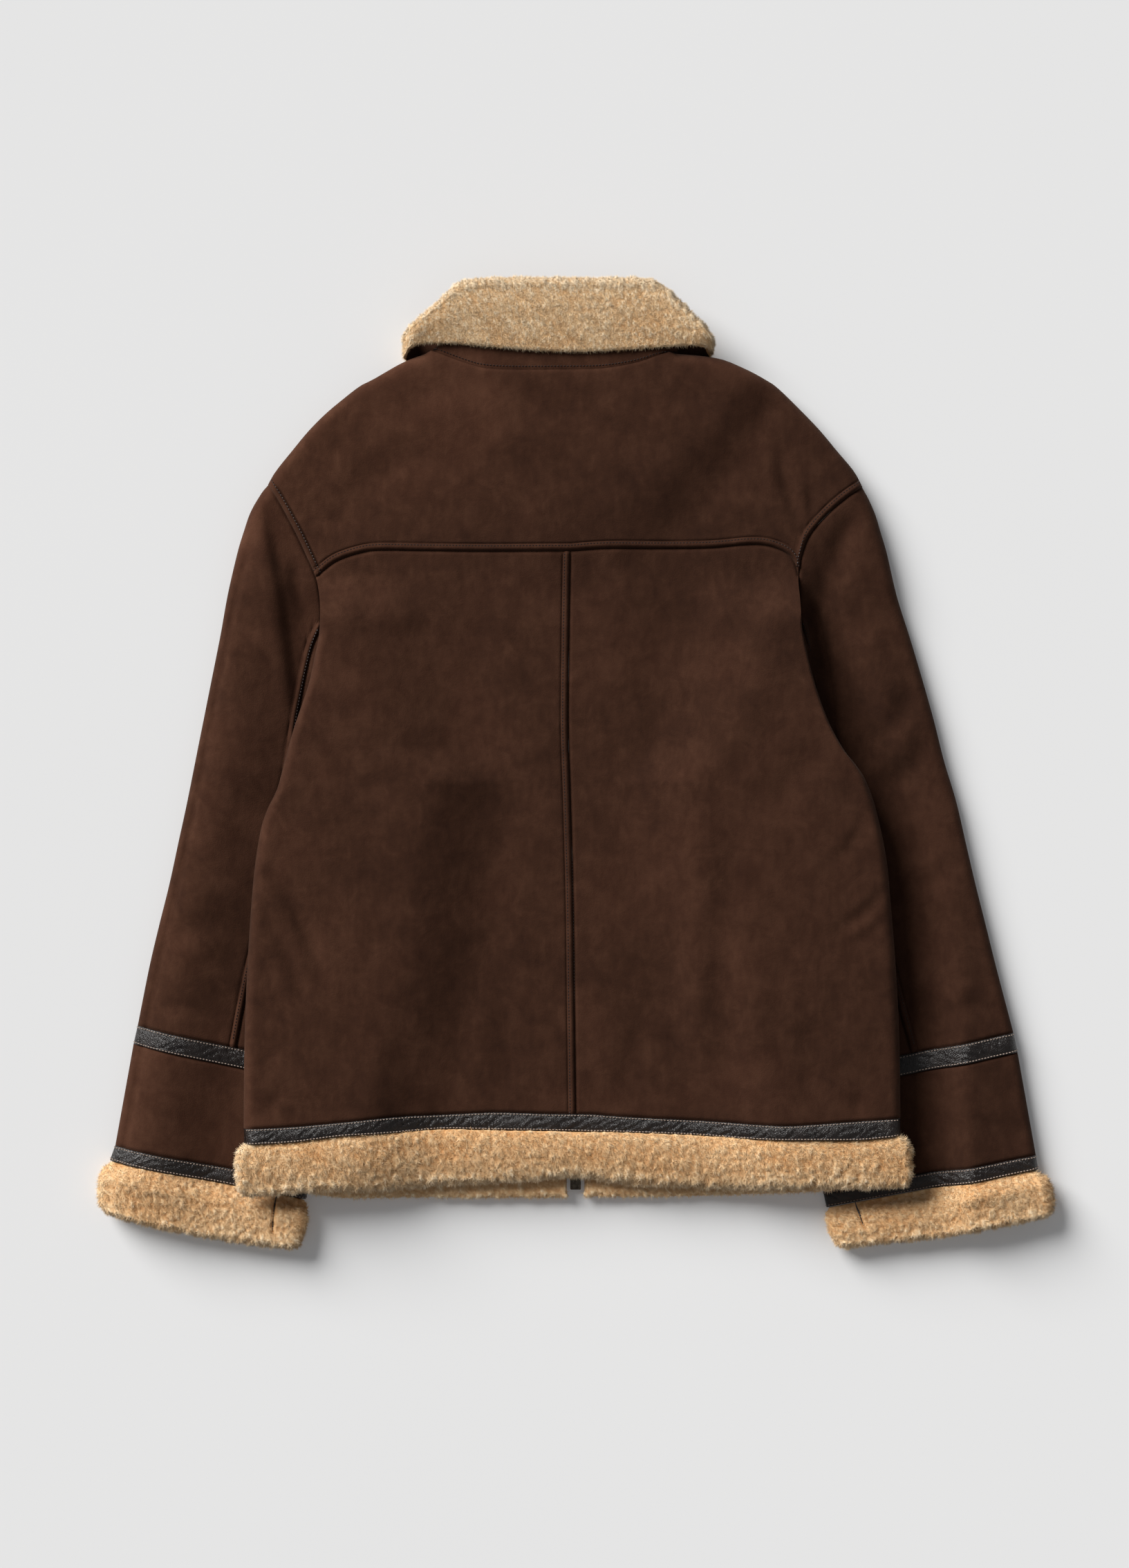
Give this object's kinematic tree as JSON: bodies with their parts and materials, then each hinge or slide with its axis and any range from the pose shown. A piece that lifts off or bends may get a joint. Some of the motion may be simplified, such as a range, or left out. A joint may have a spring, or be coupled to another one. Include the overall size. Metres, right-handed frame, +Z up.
{
  "type": "suede shearling jacket laid flat, seen from the back",
  "caption": "Brown suede shearling jacket lying flat on its front, with smooth leather bands, a turned-down pile collar, pile cuffs and hem, and a closed front zip.",
  "frame": {"origin": "on the surface that the jacket lies on, under the middle of its box", "axes": "+Z up from that surface, out of the jacket's back; +Y from the hem to the collar; +X to the wearer's right"},
  "size_m": [0.8103, 0.819, 0.0433],
  "materials": {
    "suede": "matt brown suede with an uneven nap",
    "trim_leather": "smooth dark brown leather, half gloss, finely creased",
    "pile": "curly light tan sheepskin pile",
    "zip_tape": "woven dark brown tape",
    "zip_metal": "dull warm metal"
  },
  "bodies": {
    "jacket": {"back_yoke": "suede", "back_left": "suede", "back_right": "suede", "front_left": "suede", "front_right": "suede", "hem_band_back": "trim_leather", "hem_band_front_left": "trim_leather", "hem_band_front_right": "trim_leather", "hem_pile_back": "pile", "hem_pile_front_left": "pile", "hem_pile_front_right": "pile", "top_sleeve_left": "suede", "top_sleeve_right": "suede", "under_sleeve_left": "suede", "under_sleeve_right": "suede", "sleeve_band_left": "trim_leather", "sleeve_band_right": "trim_leather", "forearm_left": "suede", "forearm_right": "suede", "cuff_band_left": "trim_leather", "cuff_band_right": "trim_leather", "cuff_pile_left": "pile", "cuff_pile_right": "pile", "collar_stand": "suede", "collar_fall": "pile", "zip_tape_left": "zip_tape", "zip_tape_right": "zip_tape", "zip_teeth": "zip_metal", "zip_box": "zip_metal", "zip_slider": "zip_metal"},
    "pull_tab": {"zip_tab": "zip_metal"}
  },
  "joints": [
    {"name": "tab_turn", "type": "hinge", "parent": "jacket", "child": "pull_tab", "pos_m": [0, 0.275, 0.0088], "axis": [1, 0, 0], "range_deg": [-14, 160]}
  ]
}
